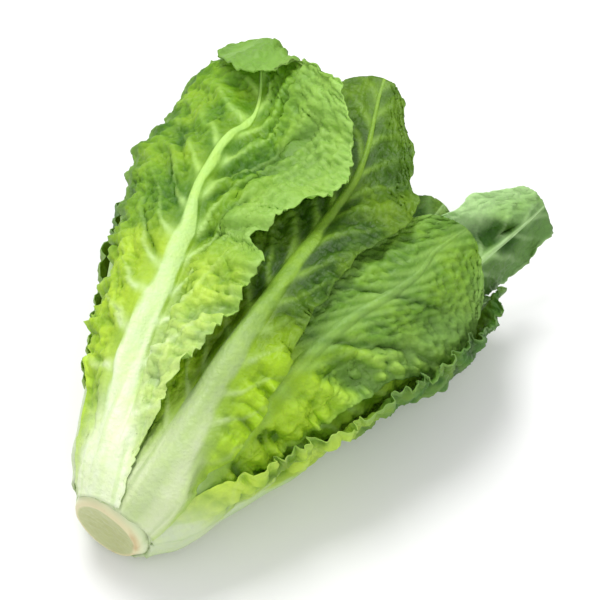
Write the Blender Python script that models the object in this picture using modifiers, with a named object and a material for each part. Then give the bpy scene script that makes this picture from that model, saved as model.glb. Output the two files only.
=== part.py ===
"""A head of romaine lettuce, cut at its stem and lying on its side.

+Y runs from the cut face of the stem to the leaf tips, and +Z is up. The leaves are laid
one over another from the heart outwards: each one rests on the surface that the leaves
inside it make, so that no two of them cross.
"""

import math

import bmesh
import bpy
import numpy as np

MM = 0.001

# The head's cross-section at stations along its length, in millimetres
STATIONS = (0, 12, 35, 70, 100, 150, 200, 250, 300)
HALF_WIDTHS = (20, 28, 42, 56, 67, 86, 96, 95, 88)
HALF_HEIGHTS = (20, 24, 31, 36, 39, 42, 43, 44, 43)
SIDE_SHIFTS = (0, 0, 0, -1, -3, -6, -8, -6, 0)
MIDDLE_HEIGHTS = (25.2, 31.2, 37.4, 40, 41.7, 43.2, 43.2, 43, 42.5)

# The middle of the finished head's outline on the table
HEAD_MIDDLE_X = -12.26
HEAD_MIDDLE_Y = 144.0

# The cut stem: radius against distance from the cut face
STEM_PROFILE = (
    (0, 18.6), (1.2, 19.8), (5, 20.8), (12, 21.2), (22, 20), (38, 16), (60, 10), (82, 5), (92, 2)
)
STEM_SIDES = 28
STEM_POINT = 0.5

BLADE_THICKNESS = 0.95
LEAF_GAP = 0.7

# How wide a leaf is along its length, as a share of its widest place
OUTLINE_PLACES = (0.0, 0.1, 0.22, 0.4, 0.58, 0.74, 0.9, 1.0)
OUTLINE_SHARES = (0.2, 0.28, 0.5, 0.74, 0.95, 1.0, 0.82, 0.4)
BROAD_TIP = (0.2, 0.26, 0.42, 0.6, 0.8, 0.96, 1.0, 0.6)
TIP_ROUNDING = 0.62
PEAK_WIDTH = 17
LEAST_MARGIN = 1.5

# Where along and across a leaf its tip and its margins begin to curl outwards
TIP_CURL_START = 0.8
TIP_CURL_LENGTH = 30
SIDE_CURL_START = 0.45

# How softly a leaf passes from its own level to the surface that it lies on
LEVEL_SOFTNESS = 0.02
LEAST_LEVEL = 0.15

# The midrib's half-width and height, as shares of those at its root
RIB_PLACES = (0.0, 0.12, 0.35, 0.65, 0.85, 1.0)
RIB_WIDTHS = (1.0, 0.92, 0.56, 0.34, 0.18, 0.08)
RIB_HEIGHTS = (0.3, 1.0, 0.62, 0.4, 0.18, 0.02)

# The record of how far out the leaves laid so far reach: places round and along the head,
# how many places it is spread by under a new leaf, and how often a leaf's grid is halved
MAP_ANGLES = 180
MAP_STEP = 2.5
MAP_ROWS = 125
MAP_SPREAD = 3
REFINEMENTS = 3

# Each leaf: its root and tip along the head, the midrib's angle round the head at root,
# middle and tip (0 is the right side, 90 the top), half-widths to the left and right,
# how far out it lies at root, middle and tip, the midrib's half-width and height, the
# waves of its left and right margins, the outward curl of both margins and of the tip in
# degrees, and its rows, and its columns on either side. A leaf may have its own outline on
# each side, its own rounding of the tip, and a peak there.
LEAVES = {
    "heart_leaf_1": dict(root=66, tip=176, angles=(60, 70, 80), widths=(15, 15), levels=(0.1, 0.16, 0.2),
                         rib=(4, 1.5), waves=(1.5, 1.5), rows=8, columns=3),
    "heart_leaf_2": dict(root=60, tip=182, angles=(240, 235, 235), widths=(17, 17), levels=(0.12, 0.2, 0.24),
                         rib=(4.5, 1.8), waves=(1.5, 1.5), rows=8, columns=3),
    "heart_leaf_3": dict(root=54, tip=205, angles=(340, 350, 365), widths=(19, 19), levels=(0.15, 0.28, 0.36),
                         rib=(5, 2), waves=(2, 2), rows=9, columns=3),
    "heart_leaf_4": dict(root=48, tip=214, angles=(150, 150, 160), widths=(22, 22), levels=(0.18, 0.3, 0.36),
                         rib=(5, 2.2), waves=(2, 2), rows=9, columns=3),
    "inner_leaf_1": dict(root=42, tip=232, angles=(50, 60, 70), widths=(34, 34), levels=(0.2, 0.38, 0.44),
                         rib=(6, 2.4), waves=(2.5, 2.5), rows=12, columns=3),
    "inner_leaf_2": dict(root=36, tip=240, angles=(220, 215, 215), widths=(38, 38), levels=(0.2, 0.42, 0.5),
                         rib=(6.5, 2.6), waves=(2.5, 2.5), rows=12, columns=3),
    "inner_leaf_3": dict(root=31, tip=246, angles=(320, 325, 340), widths=(40, 40), levels=(0.25, 0.48, 0.56),
                         rib=(7, 2.8), waves=(3, 3), rows=12, columns=3),
    "inner_leaf_4": dict(root=27, tip=256, angles=(140, 142, 148), widths=(44, 44), levels=(0.3, 0.54, 0.64),
                         rib=(7.5, 3), waves=(3, 3), rows=13, columns=3),
    "inner_leaf_5": dict(root=23, tip=250, angles=(10, 22, 36), widths=(44, 46), levels=(0.4, 0.6, 0.68),
                         rib=(8, 3.2), waves=(3, 3), rows=13, columns=3),
    "inner_leaf_6": dict(root=19, tip=258, angles=(262, 255, 250), widths=(48, 48), levels=(0.5, 0.66, 0.72),
                         rib=(8.5, 3.4), waves=(3, 3), rows=13, columns=3),
    "leaf_low_left": dict(root=9, tip=262, angles=(200, 196, 190), widths=(50, 50), levels=(0.6, 0.74, 0.84),
                          rib=(9, 3.6), waves=(3.5, 3.5), rows=16, columns=4),
    "leaf_right_tip": dict(root=12, tip=288, angles=(22, 24, 23, 19, 8), widths=(36, 33),
                           levels=(0.7, 0.9, 1.0), rounding=0.35,
                           outlines=(BROAD_TIP, (0.15, 0.2, 0.32, 0.42, 0.5, 0.58, 1.0, 0.95)),
                           rib=(9, 3.6), waves=(3.5, 1.5), curls=(10, 25, 0), rows=22, columns=5),
    "leaf_left_edge": dict(root=10, tip=258, angles=(160, 168, 166), widths=(52, 52),
                           levels=(0.85, 1.03, 1.0),
                           rib=(9.5, 4), waves=(5, 6), curls=(10, 0, 0), rows=22, columns=5),
    "leaf_under_right": dict(root=8, tip=250, angles=(310, 309, 304), widths=(42, 48),
                             levels=(0.85, 0.76, 0.78),
                             rib=(10, 3.6), waves=(3, 3), rows=16, columns=4),
    "leaf_under_left": dict(root=7, tip=254, angles=(232, 232, 226), widths=(52, 52),
                            levels=(0.85, 0.86, 0.9),
                            rib=(10, 3.6), waves=(3, 3), rows=16, columns=4),
    "leaf_low_right": dict(root=6, tip=200, angles=(4, 22, 30), widths=(40, 38), levels=(0.88, 0.92, 0.88),
                           rib=(9.5, 4.4), waves=(3.5, 3.5), rows=18, columns=5),
    "leaf_upper_right": dict(root=5, tip=232, angles=(44, 52, 44), widths=(34, 58), levels=(0.88, 0.95, 1.0),
                             outlines=(BROAD_TIP, (0.2, 0.26, 0.38, 0.48, 0.6, 0.86, 1.0, 0.6)),
                             rib=(7, 3), waves=(2, 2.5), curls=(0, 8, 15), rows=22, columns=5),
    "leaf_under": dict(root=4, tip=250, angles=(270, 272, 272), widths=(54, 54), levels=(0.9, 0.98, 0.98),
                       rib=(11, 3.2), waves=(2.5, 2.5), rows=18, columns=4),
    "leaf_right_edge": dict(root=4, tip=240, angles=(330, 329, 342), widths=(48, 40),
                            levels=(0.9, 1.0, 1.0),
                            outlines=((0.55, 0.66, 0.74, 0.8, 0.88, 0.84, 0.6, 0.3), OUTLINE_SHARES),
                            rib=(10.5, 4.6), waves=(3.5, 2.5), curls=(45, 0, 0), rows=22, columns=5),
    "leaf_top": dict(root=3, tip=284, angles=(57, 74, 78, 80, 96), widths=(36, 33), levels=(0.9, 0.98, 1.0),
                     outlines=((0.5, 0.6, 0.74, 0.82, 0.95, 1.0, 0.82, 0.4),
                               (0.36, 0.45, 0.68, 0.6, 0.55, 0.85, 1.0, 0.55)),
                     rib=(9, 4.8), waves=(3, 4), curls=(0, 0, 15), rows=24, columns=5),
    "leaf_upper_left": dict(root=3, tip=275, angles=(112, 119, 117, 122, 136), widths=(54, 70),
                            levels=(0.9, 1.0, 1.04), rounding=0.3, peak=12,
                            outlines=((0.25, 0.38, 0.48, 0.62, 0.84, 0.98, 1.0, 0.72),
                                      (0.2, 0.26, 0.38, 0.58, 0.66, 0.97, 1.0, 0.9)),
                            rib=(8.5, 5), waves=(4, 4), curls=(40, 25, 35), rows=24, columns=5),
}

REST_CUTTER_WIDTH = 400 * MM
REST_CUTTER_DEPTH = 100 * MM

BLADE_GREENS = {"heart": (0.62, 0.68, 0.22), "inner": (0.38, 0.52, 0.1), "leaf": (0.2, 0.4, 0.06)}
STEM_COLOUR = (0.62, 0.6, 0.34)


def smooth_through(places, values, at):
    """A smooth curve through the values that never overshoots them, read at any places."""
    places = np.asarray(places, float)
    values = np.asarray(values, float)
    steps = np.diff(places)
    slopes = np.diff(values) / steps
    inner = slopes[:-1] * slopes[1:]
    sums = slopes[:-1] + slopes[1:]
    bends = np.where(inner > 0, 2 * inner / np.where(sums == 0, 1, sums), 0)
    tangents = np.concatenate([slopes[:1], bends, slopes[-1:]])
    at = np.clip(at, places[0], places[-1])
    span = np.clip(np.searchsorted(places, at) - 1, 0, len(steps) - 1)
    t = (at - places[span]) / steps[span]
    start = values[span] * (1 + 2 * t) * (1 - t) ** 2 + values[span + 1] * t**2 * (3 - 2 * t)
    turn = tangents[span] * t * (1 - t) ** 2 - tangents[span + 1] * t**2 * (1 - t)
    return start + steps[span] * turn


def cross_section(y):
    """Half-width, half-height, side shift and middle height of the head at y."""
    tables = (HALF_WIDTHS, HALF_HEIGHTS, SIDE_SHIFTS, MIDDLE_HEIGHTS)
    return [smooth_through(STATIONS, table, y) for table in tables]


def reach(angle, y):
    """Distance from the head's middle line to its nominal surface."""
    half_width, half_height, _, _ = cross_section(y)
    return np.hypot(half_width * np.cos(angle), half_height * np.sin(angle))


def to_space(angle, y, level):
    """A point at an angle round the head, with level 1 on the nominal surface."""
    half_width, half_height, side, middle = cross_section(y)
    x = side + half_width * level * np.cos(angle)
    z = middle + half_height * level * np.sin(angle)
    return np.stack([x, y, z], axis=-1)


def to_head(points):
    """Angle, y and level of points in space."""
    y = points[..., 1]
    half_width, half_height, side, middle = cross_section(y)
    across = (points[..., 0] - side) / half_width
    up = (points[..., 2] - middle) / half_height
    return np.arctan2(up, across), y, np.hypot(across, up)


class Layers:
    """How far out the leaves laid so far reach, as levels round and along the head."""

    def __init__(self):
        self.levels = np.zeros((MAP_ANGLES, MAP_ROWS))

    def add(self, points):
        """Raises the record to hold a grid of points and the triangles between them."""
        fine = points
        for _ in range(REFINEMENTS):
            fine = refine(fine)
        angle, y, level = to_head(fine)
        column = np.round(angle / (2 * math.pi) * MAP_ANGLES).astype(int) % MAP_ANGLES
        row = np.clip(np.round(y / MAP_STEP).astype(int), 0, MAP_ROWS - 1)
        np.maximum.at(self.levels, (column, row), level)

    def spread(self, width, length):
        """The record with each place raised to the highest one near it."""
        levels = self.levels
        for axis, steps in ((0, width), (1, length)):
            levels = np.max([shifted(levels, k, axis) for k in range(-steps, steps + 1)], axis=0)
        return levels

    def rounded(self, width, length):
        """The record spread outwards and then evened, so that nothing lies above it."""
        levels = self.spread(width, length)
        for axis, steps in ((0, width), (1, length)):
            levels = np.mean([shifted(levels, k, axis) for k in range(-steps, steps + 1)], axis=0)
        return levels


def refine(points):
    """A grid read twice as finely, on the triangles that its cells are split into."""
    rows, columns = points.shape[:2]
    finer = np.empty((2 * rows - 1, 2 * columns - 1) + points.shape[2:])
    finer[::2, ::2] = points
    finer[1::2, ::2] = (points[1:] + points[:-1]) / 2
    finer[::2, 1::2] = (points[:, 1:] + points[:, :-1]) / 2
    finer[1::2, 1::2] = (points[1:, 1:] + points[:-1, :-1]) / 2
    return finer


def highest_near(values, reach_steps):
    """Each place of a fine grid raised to the highest value within some steps, both ways."""
    for axis in (0, 1):
        padded = np.moveaxis(values, axis, 0)
        edge = np.full((reach_steps,) + padded.shape[1:], -np.inf)
        padded = np.concatenate([edge, padded, edge])
        count = len(padded) - 2 * reach_steps
        best = np.max([padded[k : k + count] for k in range(2 * reach_steps + 1)], axis=0)
        values = np.moveaxis(best, 0, axis)
    return values


def lift_clear(points, nearby):
    """Raises the points of a grid until its triangles clear what is already laid."""
    fine = points
    for _ in range(REFINEMENTS):
        fine = refine(fine)
    angle, y, level = to_head(fine)
    short = read_map(nearby, angle, y) + LEAF_GAP / reach(angle, y) - level
    cell = 2**REFINEMENTS
    lift = np.maximum(highest_near(short, cell - 1)[::cell, ::cell], 0)
    angle, y, level = to_head(points)
    return to_space(angle, y, level + lift)


def shifted(levels, steps, axis):
    """The record moved by some steps: round the head it meets itself, and along it stops."""
    if axis == 0:
        return np.roll(levels, steps, axis=0)
    rows = np.clip(np.arange(MAP_ROWS) - steps, 0, MAP_ROWS - 1)
    return levels[:, rows]


def read_map(levels, angle, y):
    """Reads a record between its places."""
    column = (angle / (2 * math.pi) * MAP_ANGLES) % MAP_ANGLES
    row = np.clip(y / MAP_STEP, 0, MAP_ROWS - 1.001)
    left = np.floor(column).astype(int)
    low = np.floor(row).astype(int)
    across = column - left
    along = row - low
    left %= MAP_ANGLES
    right = (left + 1) % MAP_ANGLES
    near = levels[left, low] * (1 - along) + levels[left, low + 1] * along
    far = levels[right, low] * (1 - along) + levels[right, low + 1] * along
    return near * (1 - across) + far * across


def angles_beside(middle, distances, y, level):
    """Angles at distances round the head from the midrib, one row of the leaf at a time."""
    table = np.radians(np.arange(-270, 631, 1.5))
    half_width, half_height, _, _ = cross_section(y)
    found = np.empty_like(distances)
    for i in range(len(distances)):
        speed = np.hypot(half_width[i] * np.sin(table), half_height[i] * np.cos(table)) * level[i]
        travelled = np.concatenate([[0], np.cumsum((speed[1:] + speed[:-1]) / 2 * np.diff(table))])
        start = np.interp(middle[i], table, travelled)
        found[i] = np.interp(start - distances[i], travelled, table)
    return found


def bend(length, turn):
    """Where a strip that turns evenly by an angle ends: along its start, and off it."""
    turn = np.maximum(turn, 1e-4)
    return length * np.sin(turn) / turn, length * (1 - np.cos(turn)) / turn


def leaf_grid(spec, rows, columns):
    """Place along the leaf (0 root, 1 tip), and across it from the midrib in millimetres."""
    v = np.linspace(0, 1, rows + 1)[:, None]
    rib = spec["rib"][0] * smooth_through(RIB_PLACES, RIB_WIDTHS, v)
    sides = []
    outlines = spec.get("outlines", (OUTLINE_SHARES, OUTLINE_SHARES))
    for sign, width, outline in zip((-1, 1), spec["widths"], outlines):
        edge = width * smooth_through(OUTLINE_PLACES, outline, v)
        edge = np.maximum(edge, rib + LEAST_MARGIN)
        shares = np.linspace(0, 1, columns)[None, :]
        sides.append(sign * (rib + (edge - rib) * shares))
    across = np.concatenate([sides[0][:, ::-1], np.zeros_like(v), sides[1]], axis=1)
    return v, across, rib


def lay_leaf(spec, under, rows, columns):
    """The leaf's inner surface as a grid of points, and its thickness there."""
    v, across, rib = leaf_grid(spec, rows, columns)
    edge = np.where(across < 0, -across[:, :1], across[:, -1:])
    share = np.abs(across) / edge
    length = spec["tip"] - spec["root"]
    left_curl, right_curl, tip_curl = np.radians(spec.get("curls", (0, 0, 0)))

    past = np.maximum(v - TIP_CURL_START, 0) * length
    along, tip_lift = bend(past, tip_curl * np.minimum(past / TIP_CURL_LENGTH, 1))
    y = spec["root"] + np.minimum(v, TIP_CURL_START) * length + along
    near_tip = smooth_through((0, 0.6, 1), (0, 0.05, 1), v)
    rounded_off = spec.get("rounding", TIP_ROUNDING) * edge * share**2
    peak = spec.get("peak", 0) * np.exp(-((across / PEAK_WIDTH) ** 2))
    y = y + near_tip * (peak - rounded_off)

    side_start = SIDE_CURL_START * edge
    outer = np.maximum(np.abs(across) - side_start, 0)
    high = smooth_through((0, 0.4, 0.7, 1), (0, 0.3, 1, 1), v)
    side_turn = np.where(across < 0, left_curl, right_curl) * high * (outer / (edge - side_start))
    flat, side_lift = bend(outer, side_turn)
    distance = np.sign(across) * (np.minimum(np.abs(across), side_start) + flat)

    middle_y = spec["root"] + v[:, 0] * length
    level = smooth_through((0, 0.5, 1), spec["levels"], v[:, 0])
    turns = spec["angles"]
    middle = np.radians(smooth_through(np.linspace(0, 1, len(turns)), turns, v[:, 0]))
    angle = angles_beside(middle, distance, middle_y, np.maximum(level, LEAST_LEVEL))

    wave_height = np.where(across < 0, spec["waves"][0], spec["waves"][1])
    low = smooth_through((0, 0.08, 0.2, 0.7, 1), (0, 0.3, 1, 0.8, 0.5), v)
    phase = math.pi * (v * spec["rows"] + (across < 0))
    wave = wave_height * low * share**2 * (1 + np.cos(phase)) / 2
    lift = wave + side_lift + tip_lift

    away = reach(angle, y)
    support = read_map(under, angle, y) + LEAF_GAP / away
    wanted = level[:, None]
    base = (support + wanted + np.hypot(support - wanted, LEVEL_SOFTNESS)) / 2
    points = to_space(angle, y, base + lift / away)

    rib_height = spec["rib"][1] * smooth_through(RIB_PLACES, RIB_HEIGHTS, v)
    crest = np.clip(1 - (across / rib) ** 2, 0, 1)
    thickness = BLADE_THICKNESS + rib_height * crest
    return points, thickness


def surface_normals(points):
    """Outward directions on a grid of points."""
    along = np.gradient(points, axis=0)
    across = np.gradient(points, axis=1)
    normals = np.cross(across, along)
    return normals / np.linalg.norm(normals, axis=-1, keepdims=True)


def material(name, colour, roughness):
    made = bpy.data.materials.new(name)
    made.use_nodes = True
    shader = made.node_tree.nodes["Principled BSDF"]
    shader.inputs["Base Color"].default_value = (*colour, 1)
    shader.inputs["Roughness"].default_value = roughness
    shader.inputs["Metallic"].default_value = 0
    return made


def place_on_table(points):
    """Moves points in millimetres to the head's own frame, in metres."""
    return (np.asarray(points) - (HEAD_MIDDLE_X, HEAD_MIDDLE_Y, 0)) * MM


def make_leaf(name, points, thickness, collection):
    """A thin closed blade: the grid as triangles, thickened outwards by its own amount."""
    rows, columns = thickness.shape
    mesh = bpy.data.meshes.new(name)
    shape = bmesh.new()
    corners = [shape.verts.new(point) for point in place_on_table(points).reshape(-1, 3)]
    for i in range(rows - 1):
        for j in range(columns - 1):
            near = i * columns + j
            far = near + columns + 1
            shape.faces.new([corners[k] for k in (near, far, near + columns)])
            shape.faces.new([corners[k] for k in (near, near + 1, far)])
    shape.to_mesh(mesh)
    shape.free()
    leaf = bpy.data.objects.new(name, mesh)
    collection.objects.link(leaf)
    group = leaf.vertex_groups.new(name="thickness")
    thickest = float(thickness.max())
    for index, amount in enumerate(thickness.ravel()):
        group.add([index], float(amount) / thickest, "REPLACE")
    solid = leaf.modifiers.new("blade", "SOLIDIFY")
    solid.thickness = thickest * MM
    solid.offset = 1
    solid.vertex_group = "thickness"
    solid.thickness_vertex_group = 0
    kind = name.split("_")[0]
    mesh.materials.append(material(name, BLADE_GREENS[kind], 0.5))
    return leaf


def make_stem(collection):
    """The cut stem: a turned profile along +Y, bent to follow the head's middle line."""
    profile_mesh = bpy.data.meshes.new("stem_profile")
    shape = bmesh.new()
    ends = [(STEM_PROFILE[0][0], 0)] + list(STEM_PROFILE) + [(STEM_PROFILE[-1][0] + STEM_POINT, 0)]
    corners = [shape.verts.new((radius, 0, y)) for y, radius in ends]
    for first, second in zip(corners, corners[1:]):
        shape.edges.new((first, second))
    shape.to_mesh(profile_mesh)
    shape.free()
    profile = bpy.data.objects.new("stem_profile", profile_mesh)
    collection.objects.link(profile)
    turn = profile.modifiers.new("turn", "SCREW")
    turn.steps = STEM_SIDES
    turn.render_steps = STEM_SIDES
    turn.use_merge_vertices = True
    turn.merge_threshold = 0.0001
    graph = bpy.context.evaluated_depsgraph_get()
    mesh = bpy.data.meshes.new_from_object(profile.evaluated_get(graph))
    bpy.data.objects.remove(profile, do_unlink=True)
    for vertex in mesh.vertices:
        x, height, y = vertex.co
        vertex.co = place_on_table((x, y, cross_section(y)[3] + height))
    mesh.name = "stem_core"
    stem = bpy.data.objects.new("stem_core", mesh)
    collection.objects.link(stem)
    mesh.materials.append(material("cut_stem", STEM_COLOUR, 0.45))
    return stem


def stem_points():
    """The stem's surface as a grid of points, for the record of what is laid."""
    turns = np.linspace(0, 2 * math.pi, MAP_ANGLES + 1)[None, :]
    y = np.linspace(0, STEM_PROFILE[-1][0], 80)[:, None]
    radius = smooth_through(*zip(*STEM_PROFILE), y)
    z = cross_section(y)[3] + radius * np.sin(turns)
    return np.stack([radius * np.cos(turns), y + 0 * turns, z], axis=-1)


def flatten_rest_spot(leaf, cutters):
    """Presses the lowest leaf's midrib flat where the head lies on it."""
    bpy.ops.mesh.primitive_cube_add(size=1)
    block = bpy.context.object
    block.name = "rest_cutter"
    block.scale = (REST_CUTTER_WIDTH, REST_CUTTER_WIDTH, REST_CUTTER_DEPTH)
    block.location = (0, 0, -REST_CUTTER_DEPTH / 2)
    bpy.ops.object.transform_apply(location=False, rotation=False, scale=True)
    for owner in list(block.users_collection):
        owner.objects.unlink(block)
    cutters.objects.link(block)
    block.hide_render = True
    block.display_type = "WIRE"
    cut = leaf.modifiers.new("rest_spot", "BOOLEAN")
    cut.operation = "DIFFERENCE"
    cut.object = block


def main():
    for old in list(bpy.data.objects):
        bpy.data.objects.remove(old, do_unlink=True)
    head = bpy.data.collections.new("romaine_lettuce_head")
    cutters = bpy.data.collections.new("cutters")
    for collection in (head, cutters):
        bpy.context.scene.collection.children.link(collection)

    make_stem(head)
    layers = Layers()
    layers.add(stem_points())
    for name, spec in LEAVES.items():
        under = layers.rounded(MAP_SPREAD, MAP_SPREAD)
        points, thickness = lay_leaf(spec, under, spec["rows"], spec["columns"])
        points = lift_clear(points, layers.spread(1, 1))
        layers.add(points)
        layers.add(points + surface_normals(points) * thickness[..., None])
        leaf = make_leaf(name, points, thickness, head)
        if name == "leaf_under":
            flatten_rest_spot(leaf, cutters)


main()
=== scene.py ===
import math

import bpy
import numpy as np
from mathutils import Matrix, Vector


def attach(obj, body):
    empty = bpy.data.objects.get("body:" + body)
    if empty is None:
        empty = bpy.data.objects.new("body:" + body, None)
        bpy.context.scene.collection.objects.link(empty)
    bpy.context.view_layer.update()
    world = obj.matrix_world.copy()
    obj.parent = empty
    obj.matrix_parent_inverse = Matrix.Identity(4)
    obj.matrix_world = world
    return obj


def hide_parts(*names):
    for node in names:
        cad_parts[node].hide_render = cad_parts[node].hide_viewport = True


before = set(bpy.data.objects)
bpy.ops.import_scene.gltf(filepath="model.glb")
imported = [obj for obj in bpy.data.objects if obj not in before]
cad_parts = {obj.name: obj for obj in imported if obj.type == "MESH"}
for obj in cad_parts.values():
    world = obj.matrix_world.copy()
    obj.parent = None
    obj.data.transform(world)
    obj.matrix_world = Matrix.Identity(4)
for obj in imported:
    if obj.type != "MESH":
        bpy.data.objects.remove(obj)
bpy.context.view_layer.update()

# A head of romaine lettuce. Its leaves are laid one over another from the heart outwards, by
# the rule that shaped the solids, and each is laid twice: once coarsely, to know where the
# solid lies, and once on a fine grid with its veins, blisters, frills and torn margin.
# Lengths are in millimetres here, with y from the cut face, until place_on_table.
MM = 0.001

# The head's cross-section at stations along its length
STATIONS = (0, 12, 35, 70, 100, 150, 200, 250, 300)
HALF_WIDTHS = (20, 28, 42, 56, 67, 86, 96, 95, 88)
HALF_HEIGHTS = (20, 24, 31, 36, 39, 42, 43, 44, 43)
SIDE_SHIFTS = (0, 0, 0, -1, -3, -6, -8, -6, 0)
MIDDLE_HEIGHTS = (25.2, 31.2, 37.4, 40, 41.7, 43.2, 43.2, 43, 42.5)
HEAD_MIDDLE_X = -12.26
HEAD_MIDDLE_Y = 144.0

STEM_PROFILE = (
    (0, 18.6), (1.2, 19.8), (5, 20.8), (12, 21.2), (22, 20), (38, 16), (60, 10), (82, 5), (92, 2)
)

BLADE_THICKNESS = 0.95
LEAF_GAP = 0.7

# How wide a leaf is along its length, as a share of its widest place
OUTLINE_PLACES = (0.0, 0.1, 0.22, 0.4, 0.58, 0.74, 0.9, 1.0)
OUTLINE_SHARES = (0.2, 0.28, 0.5, 0.74, 0.95, 1.0, 0.82, 0.4)
BROAD_TIP = (0.2, 0.26, 0.42, 0.6, 0.8, 0.96, 1.0, 0.6)
TIP_ROUNDING = 0.62
PEAK_WIDTH = 17
LEAST_MARGIN = 1.5

# Where along and across a leaf its tip and its margins begin to curl outwards
TIP_CURL_START = 0.8
TIP_CURL_LENGTH = 30
SIDE_CURL_START = 0.45

# How softly a leaf passes from its own level to the surface that it lies on
LEVEL_SOFTNESS = 0.02
LEAST_LEVEL = 0.15

# The midrib's half-width and height, as shares of those at its root
RIB_PLACES = (0.0, 0.12, 0.35, 0.65, 0.85, 1.0)
RIB_WIDTHS = (1.0, 0.92, 0.56, 0.34, 0.18, 0.08)
RIB_HEIGHTS = (0.3, 1.0, 0.62, 0.4, 0.18, 0.02)

# The record of how far out the leaves laid so far reach
MAP_ANGLES = 180
MAP_STEP = 2.5
MAP_ROWS = 125
MAP_SPREAD = 3
REFINEMENTS = 3

# The solids' leaves: root and tip along the head, the midrib's angle round the head from root to
# tip, half-widths on the left and right, how far out they lie at root, middle and tip, the
# midrib's half-width and height, the waves of both margins, and the coarse rows and columns.
# Some also have an outward curl of both margins and of the tip in degrees, or an outline.
LEAF_KEYS = ("root", "tip", "angles", "widths", "levels", "rib", "waves", "rows", "columns")


def leaf(*values, **more):
    """A leaf's values by their names."""
    return dict(zip(LEAF_KEYS, values), **more)


LEAVES = {
    "heart_leaf_1": leaf(
        66, 176, (60, 70, 80), (15, 15), (0.1, 0.16, 0.2), (4, 1.5), (1.5, 1.5), 8, 3),
    "heart_leaf_2": leaf(
        60, 182, (240, 235, 235), (17, 17), (0.12, 0.2, 0.24), (4.5, 1.8), (1.5, 1.5), 8, 3),
    "heart_leaf_3": leaf(
        54, 205, (340, 350, 365), (19, 19), (0.15, 0.28, 0.36), (5, 2), (2, 2), 9, 3),
    "heart_leaf_4": leaf(
        48, 214, (150, 150, 160), (22, 22), (0.18, 0.3, 0.36), (5, 2.2), (2, 2), 9, 3),
    "inner_leaf_1": leaf(
        42, 232, (50, 60, 70), (34, 34), (0.2, 0.38, 0.44), (6, 2.4), (2.5, 2.5), 12, 3),
    "inner_leaf_2": leaf(
        36, 240, (220, 215, 215), (38, 38), (0.2, 0.42, 0.5), (6.5, 2.6), (2.5, 2.5), 12, 3),
    "inner_leaf_3": leaf(
        31, 246, (320, 325, 340), (40, 40), (0.25, 0.48, 0.56), (7, 2.8), (3, 3), 12, 3),
    "inner_leaf_4": leaf(
        27, 256, (140, 142, 148), (44, 44), (0.3, 0.54, 0.64), (7.5, 3), (3, 3), 13, 3),
    "inner_leaf_5": leaf(
        23, 250, (10, 22, 36), (44, 46), (0.4, 0.6, 0.68), (8, 3.2), (3, 3), 13, 3),
    "inner_leaf_6": leaf(
        19, 258, (262, 255, 250), (48, 48), (0.5, 0.66, 0.72), (8.5, 3.4), (3, 3), 13, 3),
    "leaf_low_left": leaf(
        9, 262, (200, 196, 190), (50, 50), (0.6, 0.74, 0.84), (9, 3.6), (3.5, 3.5), 16, 4),
    "leaf_right_tip": leaf(
        12, 288, (22, 24, 23, 19, 8), (36, 33), (0.7, 0.9, 1.0), (9, 3.6), (3.5, 1.5), 22, 5,
        rounding=0.35, curls=(10, 25, 0),
        outlines=(BROAD_TIP, (0.15, 0.2, 0.32, 0.42, 0.5, 0.58, 1.0, 0.95))),
    "leaf_left_edge": leaf(
        10, 258, (160, 168, 166), (52, 52), (0.85, 1.03, 1.0), (9.5, 4), (5, 6), 22, 5,
        curls=(10, 0, 0)),
    "leaf_under_right": leaf(
        8, 250, (310, 309, 304), (42, 48), (0.85, 0.76, 0.78), (10, 3.6), (3, 3), 16, 4),
    "leaf_under_left": leaf(
        7, 254, (232, 232, 226), (52, 52), (0.85, 0.86, 0.9), (10, 3.6), (3, 3), 16, 4),
    "leaf_low_right": leaf(
        6, 200, (4, 22, 30), (40, 38), (0.88, 0.92, 0.88), (9.5, 4.4), (3.5, 3.5), 18, 5),
    "leaf_upper_right": leaf(
        5, 232, (44, 52, 44), (34, 58), (0.88, 0.95, 1.0), (7, 3), (2, 2.5), 22, 5,
        curls=(0, 8, 15),
        outlines=(BROAD_TIP, (0.2, 0.26, 0.38, 0.48, 0.6, 0.86, 1.0, 0.6))),
    "leaf_under": leaf(
        4, 250, (270, 272, 272), (54, 54), (0.9, 0.98, 0.98), (11, 3.2), (2.5, 2.5), 18, 4),
    "leaf_right_edge": leaf(
        4, 240, (330, 329, 342), (48, 40), (0.9, 1.0, 1.0), (10.5, 4.6), (3.5, 2.5), 22, 5,
        curls=(45, 0, 0),
        outlines=((0.55, 0.66, 0.74, 0.8, 0.88, 0.84, 0.6, 0.3), OUTLINE_SHARES)),
    "leaf_top": leaf(
        3, 284, (57, 74, 78, 80, 96), (36, 33), (0.9, 0.98, 1.0), (9, 4.8), (3, 4), 24, 5,
        curls=(0, 0, 15),
        outlines=((0.5, 0.6, 0.74, 0.82, 0.95, 1.0, 0.82, 0.4),
                  (0.36, 0.45, 0.68, 0.6, 0.55, 0.85, 1.0, 0.55))),
    "leaf_upper_left": leaf(
        3, 275, (112, 119, 117, 122, 136), (54, 70), (0.9, 1.0, 1.04), (8.5, 5), (4, 4), 24, 5,
        rounding=0.3, peak=12, curls=(40, 25, 35),
        outlines=((0.25, 0.38, 0.48, 0.62, 0.84, 0.98, 1.0, 0.72),
                  (0.2, 0.26, 0.38, 0.58, 0.66, 0.97, 1.0, 0.9))),
}

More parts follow.
